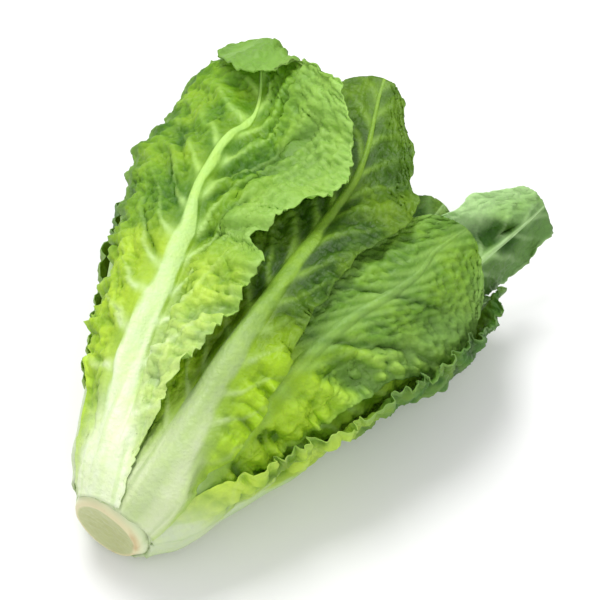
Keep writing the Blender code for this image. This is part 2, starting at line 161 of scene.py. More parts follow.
# How a leaf is dressed, with the values of a plain one:
# rows, columns: its fine rows, and its columns on each side of the midrib
# vein_gap, lean: the gap between side veins, and how far they lean towards the tip near the
#     root, and further up on the left and right
# veins_from, veins_rise, veins_show, rib_shows: where the veins start, how high they stand,
#     and how plainly they and the midrib show
# pleat, blister, frill: heights of the pleats between veins, of the blisters, and of the
#     margins' frills near root and tip
# ragged, trim, notch: how torn the margins are, how far each is cut back at the tip, and the
#     place and depth of a notch in the right one
# crinkle: from where to where the blade is crinkled, and how high on the left and right
# young, ages, slant: how young the colour is at root and tip, where it changes, and how much
#     later further to the right
# white, narrow: how far up the midrib is white, and how much narrower its stripe gets
# painted shade: how dark the blade is painted beside the midrib and, where shaded, further up, left
# and right
# painted highlights: how pale the outer blade is painted left and right and at the tip; pale_low:
# how
#     pale the right side is near the root
# rolled, flare: how far the left margin rolls back, and from where and how far both flare
# shelf: where a lobe rises over the blade below it, its slope and its height
# flap: where the tip is folded over, the fold's middle, half-width, length and turn
# creases: start and end of each, as distances across and along, and its width and depth
PLAIN = dict(
    rows=220, columns=44, vein_gap=16, lean=(0.4, 0.9, 0.9), veins_from=0.08, veins_rise=1,
    veins_show=1, rib_shows=1, pleat=1.2, blister=0.8, frill=(3, 2), ragged=0.8, trim=(0, 0),
    notch=(0, 0), crinkle=(0.1, 0.5, 2, 2), young=(1.0, 0.05), ages=(0.25, 0.55), slant=0,
    white=0.4, narrow=0, rib_side_shade=(0, 0), shaded=(0, 0), painted_highlight=(0, 0), painted_tip_highlight=0, pale_low=0,
    rolled=0, flare=(0.8, 0, 0), shelf=(0, 0, 0), flap=None, creases=(), colours="dark",
)
HEART = dict(
    PLAIN, rows=60, columns=16, vein_gap=14, pleat=0.5, blister=0.4, frill=(1.2, 1.2), ragged=0.5,
    crinkle=(0.1, 0.8, 1.2, 1.2), young=(1.0, 0.9), white=0.9, colours="heart",
)
INNER = dict(
    PLAIN, rows=110, columns=26, pleat=0.8, blister=0.6, frill=(2.5, 2), ragged=0.6,
    crinkle=(0.1, 0.7, 1.6, 1.6), young=(1.0, 0.7), white=0.7, colours="inner",
)
UNDER = dict(
    PLAIN, rows=130, columns=32, vein_gap=18, crinkle=(0.1, 0.5, 1.6, 1.6), young=(0.8, 0.1),
)

LOOKS = {
    "inner_leaf_5": dict(INNER, ragged=2.0, frill=(2.5, 3), young=(1.0, 0.1), colours="dark"),
    "leaf_low_left": UNDER,
    "leaf_under_right": UNDER,
    "leaf_under_left": UNDER,
    "leaf_under": UNDER,
    "leaf_right_tip": dict(
        PLAIN, columns=52, vein_gap=21, lean=(0.4, 1.0, 1.0), veins_show=0.5, rib_shows=0.5,
        pleat=0.8, frill=(3, 0.8), ragged=0.2, trim=(0, 17), young=(0.7, 0.1), white=0.1,
        shaded=(0, 0.9), painted_highlight=(0.8, 0), flare=(0.76, 0, 9), colours="pale",
        creases=[((-24, 222), (6, 250), 8, 5)],
    ),
    "leaf_left_edge": dict(
        PLAIN, rows=190, vein_gap=17, blister=0.9, frill=(4, 2), young=(0.7, 0.1),
    ),
    "leaf_low_right": dict(
        PLAIN, rows=170, vein_gap=15, lean=(0.3, 0.8, 0.8), blister=1.2, frill=(4, 4),
        crinkle=(0.1, 0.9, 3, 3), young=(1.0, 0.8), white=0.5, colours="bright",
    ),
    "leaf_upper_right": dict(
        PLAIN, columns=64, vein_gap=13, lean=(-2.4, -2.4, 2.4), veins_from=0.42, veins_rise=0.35,
        veins_show=0.6, rib_shows=0.12, pleat=0.12, blister=1.35, frill=(4.5, 0.6), ragged=0.2,
        crinkle=(0.05, 0.42, 3.4, 5.0), ages=(0.42, 0.56), slant=0.006, white=0.05,
        painted_highlight=(0.2, 0.45), colours="mid",
        creases=[((-6, 120), (44, 168), 2.2, 3.5), ((20, 118), (52, 150), 2.5, 4),
                 ((-20, 150), (30, 190), 1.8, 1.5)],
    ),
    "leaf_right_edge": dict(
        PLAIN, columns=60, lean=(0.3, 0.9, 0.9), blister=1.1, frill=(4.5, 3.5), ragged=1.5,
        crinkle=(0.08, 0.8, 3.4, 2), young=(1.0, 0.0), ages=(0.3, 0.62), white=0.35,
    ),
    "leaf_top": dict(
        PLAIN, rows=240, columns=64, vein_gap=18, lean=(0.4, 1.4, 1.4), blister=1.15,
        frill=(4.5, 0.8), ragged=0.35, crinkle=(0.08, 0.45, 2, 4.0), ages=(0.3, 0.5), white=0.26,
        rib_side_shade=(0.75, 0.15), painted_tip_highlight=0.3, colours="olive",
    ),
    "leaf_upper_left": dict(
        PLAIN, rows=256, columns=80, vein_gap=21, lean=(0.2, 0.85, 1.7), pleat=1.5, blister=1.35,
        frill=(3.5, 0.9), ragged=0.2, trim=(14, 0), notch=(151, 11),
        crinkle=(0.12, 0.46, 1.4, 3.4), young=(1.0, 0.12), ages=(0.38, 0.56), white=0.42,
        narrow=0.3, rib_side_shade=(0.2, 0.3), painted_highlight=(0, 0.6), pale_low=0.4, rolled=7,
        shelf=(141, 0.42, 5), flap=(0.985, 9, 25, 36, 138), colours="green",
        creases=[((5, 176), (50, 240), 3.5, 5), ((4, 158), (34, 205), 2.2, 2.4),
                 ((4, 138), (30, 178), 2.0, 2.0), ((-5, 150), (-30, 190), 2.2, 2.2),
                 ((-5, 118), (-26, 146), 2.0, 2.0), ((-18, 190), (-40, 215), 3.0, 3.0)],
    ),
}

# Linear colours: deep, painted shade for hollows, creases and the midrib's sides; the grown blade;
# its young part, painted darker between the blisters and lighter on them; the veins, also painted
# on as highlights; the midrib's root too where it isn't white
TONES = ("deep", "middle", "sap", "bright", "pale", "root")
PALETTES = {
    "green": ((0.055, 0.19, 0.001), (0.19, 0.43, 0.012), (0.3, 0.54, 0.008), (0.66, 0.9, 0.06),
              (0.46, 0.74, 0.17)),
    "mid": ((0.035, 0.13, 0.001), (0.18, 0.4, 0.025), (0.24, 0.48, 0.004), (0.54, 0.82, 0.03),
            (0.42, 0.68, 0.19)),
    "olive": ((0.015, 0.06, 0.001), (0.06, 0.16, 0.008), (0.22, 0.42, 0.004), (0.5, 0.78, 0.02),
              (0.2, 0.37, 0.035), (0.73, 0.82, 0.52)),
    "bright": ((0.16, 0.38, 0.003), (0.33, 0.6, 0.03), (0.26, 0.5, 0.008), (0.6, 0.88, 0.07),
               (0.5, 0.72, 0.25)),
    "dark": ((0.015, 0.08, 0.001), (0.07, 0.22, 0.025), (0.34, 0.6, 0.02), (0.72, 0.94, 0.1),
             (0.35, 0.56, 0.2), (0.62, 0.72, 0.48)),
    "pale": ((0.02, 0.1, 0.001), (0.5, 0.82, 0.28), (0.3, 0.56, 0.02), (0.4, 0.68, 0.06),
             (0.62, 0.88, 0.42)),
    "inner": ((0.14, 0.34, 0.006), (0.36, 0.58, 0.05), (0.36, 0.58, 0.03), (0.62, 0.84, 0.14),
              (0.7, 0.82, 0.42)),
    "heart": ((0.3, 0.46, 0.03), (0.54, 0.68, 0.12), (0.5, 0.66, 0.1), (0.72, 0.86, 0.26),
              (0.78, 0.85, 0.48)),
}
WHITE_RIB = (0.84, 0.93, 0.66)

# A folded tip: the length of the fold's arc, its rows, and how far past the fold its veins have
# faded and its painted highlight is full
FOLD_ARC = 9
FOLD_ROWS = 30
FOLD_FADE = 11

# The fine leaves: columns on half the midrib, how far the record of them is spread and evened,
# the steps over which a midrib's directions are averaged, and the gap between two leaves
RIB_COLUMNS = 7
PIECE_SPREAD = 4
PIECE_EVENING = 3
RIB_EVENING = 9
FINE_GAP = 0.35

# The margin's swells, lobes and teeth: height, length along it, and place in the noise
SWELLS = ((2.0, 24, 3.0), (1.6, 8, 5.0), (0.9, 3.2, 7.0))
NOTCH_WIDTH = 6
MARGIN_THINNING = 0.45
ROLL_WIDTH = 11
FRILL_LENGTH = 11

# How wide and how long the blisters are, large and small
BLISTERS = (7.5, 6.2)
SMALL_BLISTERS = (3.6, 3.2)

# Heights over the table: the least of a leaf's outer side and of its inner side above that,
# and how low the outer side is where the inner one is lifted off it
LEAST_HEIGHT = 0.05
LEAST_THICKNESS = 0.4
PRESSED_HEIGHT = 1.2

# The stem: its mesh's grid, how hollow its face is, how high saw marks and lumps are, and the
# bulge towards the lowest stalk: angle and spread in degrees, and height
STEM_TURNS = 160
FACE_RINGS = 26
SIDE_ROWS = 60
FACE_HOLLOW = 0.9
STEM_LUMPS = 0.35
BULGE = (335, 24, 4.2)
STEM_COLOURS = dict(
    middle=(0.43, 0.47, 0.19), outer=(0.48, 0.52, 0.24), ring=(0.57, 0.6, 0.32),
    fleck=(0.36, 0.38, 0.15), rim=(0.74, 0.68, 0.4), side=(0.76, 0.84, 0.56), rust=(0.5, 0.3, 0.1),
)

# The studio: the lamps' places, sizes and powers, the floor, and the light around
LAMPS = dict(key=((-0.7, 0.5, 1.5), 0.9, 23), fill=((1.0, -0.8, 1.2), 1.4, 9))
LAMP_TARGET = (0, 0, 0.05)
FLOOR_SIZE = 12
FLOOR_GREY = 0.9
AMBIENT = 0.62

# The view that the photograph was taken from, and where it shows the middle of the cut face
VIEW_AZIMUTH = 33.5
VIEW_ELEVATION = 54.4
VIEW_DISTANCE = 1400
VIEW_SCALE = 1.894
FRAME_PIXELS = 600
SENSOR_WIDTH = 36
CUT_PIXEL = (107, 532)
CUT_POINT = (0, 0, 24)
VIEW_TARGET = (0, 145, 55)


def smooth_through(places, values, at):
    """A smooth curve through the values that never overshoots them, read at any places."""
    places = np.asarray(places, float)
    values = np.asarray(values, float)
    steps = np.diff(places)
    slopes = np.diff(values) / steps
    inner = slopes[:-1] * slopes[1:]
    sums = slopes[:-1] + slopes[1:]
    bends = np.where(inner > 0, 2 * inner / np.where(sums == 0, 1, sums), 0)
    tangents = np.concatenate([slopes[:1], bends, slopes[-1:]])
    at = np.clip(at, places[0], places[-1])
    span = np.clip(np.searchsorted(places, at) - 1, 0, len(steps) - 1)
    t = (at - places[span]) / steps[span]
    start = values[span] * (1 + 2 * t) * (1 - t) ** 2 + values[span + 1] * t**2 * (3 - 2 * t)
    turn = tangents[span] * t * (1 - t) ** 2 - tangents[span + 1] * t**2 * (1 - t)
    return start + steps[span] * turn


def ramp(low, high, at):
    """A soft step from 0 to 1 between two places."""
    t = np.clip((at - low) / (high - low), 0, 1)
    return t * t * (3 - 2 * t)


def bell(at):
    """A bell-shaped swell, 1 high at 0."""
    return np.exp(-(at**2))


def cross_section(y):
    """Half-width, half-height, side shift and middle height of the head at y."""
    tables = (HALF_WIDTHS, HALF_HEIGHTS, SIDE_SHIFTS, MIDDLE_HEIGHTS)
    return [smooth_through(STATIONS, table, y) for table in tables]


def reach(angle, y):
    """Distance from the head's middle line to its nominal surface."""
    half_width, half_height, _, _ = cross_section(y)
    return np.hypot(half_width * np.cos(angle), half_height * np.sin(angle))


def to_space(angle, y, level):
    """A point at an angle round the head, with level 1 on the nominal surface."""
    half_width, half_height, side, middle = cross_section(y)
    x = side + half_width * level * np.cos(angle)
    z = middle + half_height * level * np.sin(angle)
    return np.stack([x, y, z], axis=-1)


def to_head(points):
    """Angle, y and level of points in space."""
    y = points[..., 1]
    half_width, half_height, side, middle = cross_section(y)
    across = (points[..., 0] - side) / half_width
    up = (points[..., 2] - middle) / half_height
    return np.arctan2(up, across), y, np.hypot(across, up)


class Layers:
    """How far out the leaves laid so far reach, as levels round and along the head."""

    def __init__(self):
        self.levels = np.zeros((MAP_ANGLES, MAP_ROWS))

    def add(self, points, refinements):
        """Raises the record to hold a grid of points and the triangles between them."""
        angle, y, level = to_head(refine(points, refinements))
        column = np.round(angle / (2 * math.pi) * MAP_ANGLES).astype(int) % MAP_ANGLES
        row = np.clip(np.round(y / MAP_STEP).astype(int), 0, MAP_ROWS - 1)
        np.maximum.at(self.levels, (column, row), level)

    def spread(self, width, length):
        """The record with each place raised to the highest one near it."""
        levels = self.levels
        for axis, steps in ((0, width), (1, length)):
            levels = np.max([shifted(levels, k, axis) for k in range(-steps, steps + 1)], axis=0)
        return levels

    def rounded(self, spread, even):
        """The record spread outwards and then evened, so that nothing lies above it."""
        levels = self.spread(spread, spread)
        for axis in (0, 1):
            levels = np.mean([shifted(levels, k, axis) for k in range(-even, even + 1)], axis=0)
        return levels


def refine(points, times):
    """A grid read twice as finely some times, on the triangles that its cells are split into."""
    for _ in range(times):
        rows, columns = points.shape[:2]
        finer = np.empty((2 * rows - 1, 2 * columns - 1) + points.shape[2:])
        finer[::2, ::2] = points
        finer[1::2, ::2] = (points[1:] + points[:-1]) / 2
        finer[::2, 1::2] = (points[:, 1:] + points[:, :-1]) / 2
        finer[1::2, 1::2] = (points[1:, 1:] + points[:-1, :-1]) / 2
        points = finer
    return points


def windowed(values, steps, combine):
    """A grid with the values within some steps of each place combined, both ways."""
    for axis in (0, 1):
        last = values.shape[axis] - 1
        near = [np.clip(np.arange(last + 1) + k, 0, last) for k in range(-steps, steps + 1)]
        values = combine([np.take(values, places, axis) for places in near], axis=0)
    return values


def lift_clear(points, nearby):
    """Raises the points of a grid until its triangles clear what is already laid."""
    angle, y, level = to_head(refine(points, REFINEMENTS))
    short = read_map(nearby, angle, y) + LEAF_GAP / reach(angle, y) - level
    cell = 2**REFINEMENTS
    lift = np.maximum(windowed(short, cell - 1, np.max)[::cell, ::cell], 0)
    angle, y, level = to_head(points)
    return to_space(angle, y, level + lift)


def shifted(levels, steps, axis):
    """The record moved by some steps: round the head it meets itself, and along it stops."""
    if axis == 0:
        return np.roll(levels, steps, axis=0)
    rows = np.clip(np.arange(MAP_ROWS) - steps, 0, MAP_ROWS - 1)
    return levels[:, rows]


def read_map(levels, angle, y):
    """Reads a record between its places."""
    column = (angle / (2 * math.pi) * MAP_ANGLES) % MAP_ANGLES
    row = np.clip(y / MAP_STEP, 0, MAP_ROWS - 1.001)
    left = np.floor(column).astype(int)
    low = np.floor(row).astype(int)
    across = column - left
    along = row - low
    left %= MAP_ANGLES
    right = (left + 1) % MAP_ANGLES
    near = levels[left, low] * (1 - along) + levels[left, low + 1] * along
    far = levels[right, low] * (1 - along) + levels[right, low + 1] * along
    return near * (1 - across) + far * across


def angles_beside(middle, distances, y, level):
    """Angles at distances round the head from the midrib, one row of the leaf at a time."""
    table = np.radians(np.arange(-270, 631, 1.5))
    half_width, half_height, _, _ = cross_section(y)
    found = np.empty_like(distances)
    for i in range(len(distances)):
        speed = np.hypot(half_width[i] * np.sin(table), half_height[i] * np.cos(table)) * level[i]
        travelled = np.concatenate([[0], np.cumsum((speed[1:] + speed[:-1]) / 2 * np.diff(table))])
        start = np.interp(middle[i], table, travelled)
        found[i] = np.interp(start - distances[i], travelled, table)
    return found


def bend(length, turn):
    """Where a strip that turns evenly by an angle ends: along its start, and off it."""
    turn = np.maximum(turn, 1e-4)
    return length * np.sin(turn) / turn, length * (1 - np.cos(turn)) / turn


def leaf_grid(spec, rows, columns, rib_columns=1, ragged=None, fold_start=1.0):
    """Place along the leaf (0 root, 1 tip), and across it from the midrib in millimetres."""
    v = np.linspace(0, fold_start, rows + 1)[:, None]
    if fold_start < 1:
        v = np.concatenate([v, np.linspace(fold_start, 1, FOLD_ROWS + 1)[1:, None]])
    rib = spec["rib"][0] * smooth_through(RIB_PLACES, RIB_WIDTHS, v)
    sides = []
    outlines = spec.get("outlines", (OUTLINE_SHARES, OUTLINE_SHARES))
    for sign, width, outline in zip((-1, 1), spec["widths"], outlines):
        edge = width * smooth_through(OUTLINE_PLACES, outline, v)
        if ragged is not None:
            edge = edge + ragged(v, sign, edge)
        edge = np.maximum(edge, rib + LEAST_MARGIN)
        inside = rib * np.linspace(0, 1, rib_columns + 1)[None, 1:-1]
        shares = np.linspace(0, 1, columns)[None, :]
        sides.append(sign * np.concatenate([inside, rib + (edge - rib) * shares], axis=1))
    across = np.concatenate([sides[0][:, ::-1], np.zeros_like(v), sides[1]], axis=1)
    return v, across, rib


def past_fold(v, across, fold):
    """How far each place lies past the fold, in millimetres."""
    start, middle, half_width, fold_length, _ = fold
    rounding = np.sqrt(np.maximum(1 - ((across - middle) / half_width) ** 2, 0.001))
    return np.maximum(v - start, 0) / (1 - start) * fold_length * rounding


def fold_tip(v, across, before, tip_curl, fold):
    """How a folded tip runs on along the leaf and rises off it, past the place of its fold."""
    past = past_fold(v, across, fold)
    arc = np.minimum(past, FOLD_ARC)
    turned = math.radians(fold[4]) * arc / FOLD_ARC
    along, lift = bend(arc, turned)
    along = along + (past - arc) * np.cos(turned)
    lift = lift + (past - arc) * np.sin(turned)
    slope = tip_curl * np.minimum(before / TIP_CURL_LENGTH, 1)
    ahead, up = np.cos(slope), np.sin(slope)
    return along * ahead - lift * up, along * up + lift * ahead


def lay_leaf(spec, under, v, across, rib, fold=None):
    """The leaf's inner surface as a grid of points, and its thickness there."""
    edge = np.where(across < 0, -across[:, :1], across[:, -1:])
    share = np.abs(across) / edge
    length = spec["tip"] - spec["root"]
    left_curl, right_curl, tip_curl = np.radians(spec.get("curls", (0, 0, 0)))

    last = 1 if fold is None else fold[0]
    past = np.maximum(np.minimum(v, last) - TIP_CURL_START, 0) * length
    along, tip_lift = bend(past, tip_curl * np.minimum(past / TIP_CURL_LENGTH, 1))
    if fold is not None:
        folded_along, folded_lift = fold_tip(v, across, past, tip_curl, fold)
        along = along + folded_along
        tip_lift = tip_lift + folded_lift
    y = spec["root"] + np.minimum(v, TIP_CURL_START) * length + along
    near_tip = smooth_through((0, 0.6, 1), (0, 0.05, 1), np.minimum(v, last))
    rounded_off = spec.get("rounding", TIP_ROUNDING) * edge * share**2
    peak = spec.get("peak", 0) * bell(across / PEAK_WIDTH)
    y = y + near_tip * (peak - rounded_off)

    side_start = SIDE_CURL_START * edge
    outer = np.maximum(np.abs(across) - side_start, 0)
    high = smooth_through((0, 0.4, 0.7, 1), (0, 0.3, 1, 1), v)
    side_turn = np.where(across < 0, left_curl, right_curl) * high * (outer / (edge - side_start))
    flat, side_lift = bend(outer, side_turn)
    distance = np.sign(across) * (np.minimum(np.abs(across), side_start) + flat)

    middle_y = spec["root"] + v[:, 0] * length
    level = smooth_through((0, 0.5, 1), spec["levels"], v[:, 0])
    turns = spec["angles"]
    middle = np.radians(smooth_through(np.linspace(0, 1, len(turns)), turns, v[:, 0]))
    angle = angles_beside(middle, distance, middle_y, np.maximum(level, LEAST_LEVEL))

    wave_height = np.where(across < 0, spec["waves"][0], spec["waves"][1])
    low = smooth_through((0, 0.08, 0.2, 0.7, 1), (0, 0.3, 1, 0.8, 0.5), v)
    phase = math.pi * (v * spec["rows"] + (across < 0))
    wave = wave_height * low * share**2 * (1 + np.cos(phase)) / 2
    lift = wave + side_lift + tip_lift

    away = reach(angle, y)
    support = read_map(under, angle, y) + LEAF_GAP / away
    wanted = level[:, None]
    base = (support + wanted + np.hypot(support - wanted, LEVEL_SOFTNESS)) / 2
    points = to_space(angle, y, base + lift / away)

    rib_height = spec["rib"][1] * smooth_through(RIB_PLACES, RIB_HEIGHTS, v)
    crest = np.clip(1 - (across / rib) ** 2, 0, 1)
    thickness = BLADE_THICKNESS + rib_height * crest
    return points, thickness


def full_length(directions):
    """Directions at unit length."""
    return directions / np.maximum(np.linalg.norm(directions, axis=-1, keepdims=True), 1e-9)


def surface_normals(points):
    """Outward directions on a grid of points."""
    return full_length(np.cross(np.gradient(points, axis=1), np.gradient(points, axis=0)))


def hashed(i, j, seed):
    """A repeatable random value from 0 to 1 for each whole-number place."""
    n = (i.astype(np.int64) * 73856093) ^ (j.astype(np.int64) * 19349663) ^ (seed * 83492791)
    n = ((n ^ (n >> 13)) * 1274126177) & 0x7FFFFFFF
    n = ((n ^ (n >> 15)) * 668265263) & 0x7FFFFFFF
    return ((n ^ (n >> 12)) & 0xFFFF) / 0xFFFF


def noise(x, y, seed):
    """Smooth noise from -1 to 1 with one swell to each unit."""
    i = np.floor(x)
    j = np.floor(y)
    a = x - i
    b = y - j
    a = a * a * a * (a * (a * 6 - 15) + 10)
    b = b * b * b * (b * (b * 6 - 15) + 10)
    low = hashed(i, j, seed) * (1 - a) + hashed(i + 1, j, seed) * a
    high = hashed(i, j + 1, seed) * (1 - a) + hashed(i + 1, j + 1, seed) * a
    return 2 * (low * (1 - b) + high * b) - 1


def cells(x, y, seed):
    """Distances to the nearest and the second nearest of points scattered one to a unit."""
    i = np.floor(x)
    j = np.floor(y)
    first = np.full(x.shape, 9.0)
    second = np.full(x.shape, 9.0)
    for di in (-1, 0, 1):
        for dj in (-1, 0, 1):
            centre_x = i + di + 0.5 + 0.8 * (hashed(i + di, j + dj, seed) - 0.5)
            centre_y = j + dj + 0.5 + 0.8 * (hashed(i + di, j + dj, seed + 101) - 0.5)
            far = np.hypot(x - centre_x, y - centre_y)
            second = np.minimum(second, np.maximum(first, far))
            first = np.minimum(first, far)
    return first, second


def ragged_edge(length, look, seed):
    """The torn and crinkled outline of a blade's margin, in millimetres."""
    notch_t, notch_depth = look["notch"]

    def margin(v, sign, edge):
        t = v * length
        swell, lobes, teeth = [
            height * noise(t / long, sign * row + 0 * t, seed + k)
            for k, (height, long, row) in enumerate(SWELLS)
        ]
        torn = swell + look["ragged"] * (lobes + teeth)
        cut_in = (sign > 0) * notch_depth * bell((t - notch_t) / NOTCH_WIDTH)
        cut_in = cut_in + look["trim"][int(sign > 0)] * ramp(0.84, 1, v) ** 2
        return torn * np.minimum(edge / 30, 1) * ramp(0.05, 0.25, v) - cut_in

    return margin


class Blade:
    """Where each place of a fine leaf lies: along it, across it and past its fold."""

    def __init__(self, spec, look, v, across, rib, seed):
        fold = look["flap"]
        self.v = v
        self.across = across
        self.rib = rib
        self.seed = seed
        self.out = np.abs(across)
        self.edge = np.where(across < 0, -across[:, :1], across[:, -1:])
        self.share = self.out / self.edge
        self.beyond = np.maximum(self.out - rib, 0)
        self.on_blade = ramp(0.9, 1.5, self.out / rib)
        self.late = v - look["slant"] * np.maximum(across, 0)
        self.past = past_fold(v, across, fold) if fold else 0 * across
        self.folded = np.minimum(self.past / FOLD_FADE, 1)
        unfolded = np.minimum(v, fold[0] if fold else 1)
        self.t = unfolded * (spec["tip"] - spec["root"]) + self.past

    def sides(self, left, right):
        """One value on the left of the midrib and another on its right."""
        return np.where(self.across < 0, left, right)

    def swells(self, wide, long, offset):
        """Noise that is alike on both sides, with swells of a given size in millimetres."""
        return noise(self.out / wide, self.t / long, self.seed + offset)


def side_veins(leaf, look):
    """The side veins: places counted by them, distances off the nearest, and their strength."""
    gap = look["vein_gap"]
    near_root, left_lean, right_lean = look["lean"]
    stagger = leaf.sides(0.45, 0.0) * (left_lean > 0)
    warp = 0.45 * leaf.swells(30, 30, 11) + 0.14 * leaf.swells(9, 11, 12)
    lean = near_root + (leaf.sides(left_lean, right_lean) - near_root) * ramp(0.15, 0.65, leaf.v)
    curve = 0.2 * leaf.out**2 / np.maximum(leaf.edge, 1)
    place = (leaf.t - lean * leaf.out - curve) / gap + stagger + warp
    off = np.abs(place - np.round(place)) * gap / np.hypot(1, lean)
    first = look["veins_from"]
    strength = np.exp(-leaf.beyond / (0.75 * leaf.edge)) * ramp(first, first + 0.12, leaf.v)
    return place, off, strength * (1 - 0.5 * ramp(0.85, 1, leaf.v))


def pleated(leaf, look, place):
    """The soft pleats between the side veins."""
    amount = 0.3 + 0.7 * ramp(-0.4, 0.5, noise(leaf.out / 24 + 9, leaf.t / 30, leaf.seed + 13))
    pleat = np.cos(2 * math.pi * place) * look["pleat"] * amount * ramp(0, 9, leaf.beyond)
    pleat = pleat * (1 - 0.75 * ramp(0.35, 0.95, leaf.share)) * ramp(0.1, 0.25, leaf.v)
    swells = (leaf.swells(21, 26, 14) + leaf.swells(10.5, 13, 21) / 2) / 1.6
    return pleat + look["pleat"] * swells * ramp(2, 14, leaf.beyond)


def blistered(leaf, look):
    """The blisters between the veins, with smaller ones among them."""
    x = leaf.across / BLISTERS[0] + 0.5 * leaf.swells(11, 11, 31)
    first, second = cells(x, leaf.t / BLISTERS[1], leaf.seed)
    wall = bell((second - first) / 0.2)
    bowl = np.clip(1 - first / 0.6, 0, 1) ** 1.5
    y = leaf.t / SMALL_BLISTERS[1] + 0.4 * leaf.swells(6, 6, 0)
    first, second = cells(leaf.across / SMALL_BLISTERS[0], y, leaf.seed + 5)
    small_wall = bell((second - first) / 0.25)
    large = look["blister"] * (0.75 * wall - 0.9 * bowl) * ramp(1, 8, leaf.beyond)
    return large + 0.36 * look["blister"] * small_wall * ramp(1, 5, leaf.beyond)


def crinkled(leaf, look):
    """The crinkled part of the blade, and the painted shade in its hollows."""
    start, end, left_height, right_height = look["crinkle"]
    zone = ramp(start, start + 0.08, leaf.v) * (1 - ramp(end, end + 0.14, leaf.late))
    height = leaf.sides(left_height, right_height) * zone * ramp(0, 10, leaf.beyond)
    folds = 0.8 * noise(leaf.out / 15, leaf.t / 9 - 0.05 * leaf.out, leaf.seed + 41)
    folds = folds + 0.5 * leaf.swells(8, 4.6, 42) + 0.3 * leaf.swells(4.5, 3, 43)
    return height * folds, 0.15 * height * ramp(0.2, 0.8, -folds)


def frilled(leaf, look):
    """The frills that grow towards the margins."""
    place = leaf.t / FRILL_LENGTH + 0.6 * noise(leaf.t / 17, leaf.out / 40, leaf.seed + 51)
    swing = np.sin(2 * math.pi * place) + 0.5 * np.sin(4.6 * math.pi * place + 1.3)
    near_root, near_tip = look["frill"]
    height = near_root + (near_tip - near_root) * ramp(0.4, 0.65, leaf.v)
    outwards = ramp(0.55, 1.0, leaf.share) ** 1.3 * ramp(0.1, 0.3, leaf.v)
    return height * (0.5 * swing + 0.3) * outwards


def creased(leaf, look):
    """How deep each place lies in the leaf's creases, and how near it is to one of them, which
    sets the painted shade along them.
    """
    depth = np.zeros_like(leaf.across)
    near = np.zeros_like(leaf.across)
    for start, end, width, deepest in look["creases"]:
        run = np.subtract(end, start)
        beside = leaf.across - start[0]
        along = leaf.t - start[1]
        share = (beside * run[0] + along * run[1]) / (run @ run)
        inside = np.clip(share, 0, 1)
        wander = 1.5 * noise(leaf.t / 14, leaf.across / 14, int(start[1]))
        away = np.hypot(beside - inside * run[0] + wander, along - inside * run[1])
        ends = ramp(-0.1, 0.25, share) * (1 - ramp(0.75, 1.1, share))
        close = bell(away / width) * ends
        depth = depth + deepest * close
        near = np.maximum(near, close)
    return depth, near


def shelved(leaf, look):
    """The step where a lobe rises over the blade below it, and the shadow under the lobe."""
    start, slope, height = look["shelf"]
    wander = 2.5 * noise(leaf.across / 9, leaf.t / 40, leaf.seed + 71)
    above = leaf.t - start - slope * leaf.across - wander
    step = height * ramp(-1.0, 2.0, above) * (1 - ramp(6, 50, above)) * ramp(6, 26, leaf.across)
    shadow = height / 8 * bell((above + 3) / 4) * ramp(6, 20, leaf.across)
    return step, shadow


def turned_margins(leaf, look):
    """How far the margins flare out and roll back, and how a folded tip flutters."""
    start, left_flare, right_flare = look["flare"]
    flare = leaf.sides(left_flare, right_flare) * ramp(start, 1, leaf.v) * leaf.share**1.5
    from_left = leaf.sides(leaf.edge - leaf.out, leaf.edge)
    rolled = look["rolled"] * np.maximum(1 - from_left / ROLL_WIDTH, 0) ** 1.3
    flutter = 1.3 * noise(leaf.across / 9, leaf.past / 18 + 5, leaf.seed + 81)
    return flare - rolled * ramp(0.4, 0.55, leaf.v) + flutter * ramp(7, 18, leaf.past)


def settled(leaf, points, relief, thickness, clear):
    """Both sides of the fine leaf, raised by its relief and clear of the leaves under it."""
    outwards = surface_normals(points)
    points = points + outwards * relief[..., None]
    angle, y, level = to_head(points)
    floor_level = read_map(clear, angle, y) + FINE_GAP / reach(angle, y)
    press = ramp(0.3, 3.5, leaf.beyond) * ramp(0.3, 0.95, leaf.share)
    press = np.maximum(press * (1 - ramp(0.08, 0.26, leaf.v)), 1 - ramp(0.005, 0.05, leaf.v))
    level = level + press * np.minimum(floor_level - level, 0)
    points = to_space(angle, y, np.maximum(level, floor_level))
    on_rib = (1 - ramp(1.0, 1.6, leaf.out / leaf.rib))[..., None]
    even = full_length(windowed(outwards, RIB_EVENING, np.mean))
    facing = even * on_rib + surface_normals(points) * (1 - on_rib)
    outer = points + facing * thickness[..., None]
    outer[..., 2] = np.maximum(outer[..., 2], LEAST_HEIGHT)
    pressed = outer[..., 2] * (outer[..., 2] < PRESSED_HEIGHT)
    points[..., 2] = np.maximum(points[..., 2], pressed + LEAST_THICKNESS)
    return points, outer


def paleness(leaf, look, off, vein, twig):
    """How plainly the midrib, the veins and the stalk show."""
    web = bell(off / (0.6 + 2.6 * np.exp(-leaf.beyond / 5))) * np.exp(-leaf.beyond / 8)
    web = web * ramp(0.1, 0.25, leaf.v)
    wander = 1 + 0.12 * noise(leaf.t / 9, leaf.across / 5, leaf.seed + 61)
    narrow = 1 - look["narrow"] * ramp(0.18, 0.35, leaf.v)
    rib = 1 - ramp(0.7 * narrow, 1.05 * narrow, leaf.out / (leaf.rib * wander))
    rib = rib * (1 + (look["rib_shows"] - 1) * ramp(0.15, 0.3, leaf.v))
    stalk = 1 - ramp(0.06, 0.24, leaf.v + 0.1 * leaf.share)
    stalk = stalk * (1 - 0.55 * ramp(0.6, 1, leaf.share))
    stalk = stalk + 0.3 * (1 - ramp(0.15, 0.4, leaf.v + 0.2 * leaf.share))
    stalk = stalk + look["pale_low"] * (1 - ramp(0.25, 0.52, leaf.v)) * (leaf.across > 0)
    lines = 0.55 * web + 0.36 * vein * leaf.on_blade + 0.1 * twig
    return (rib + look["veins_show"] * lines + stalk) * (1 - 0.9 * leaf.folded)


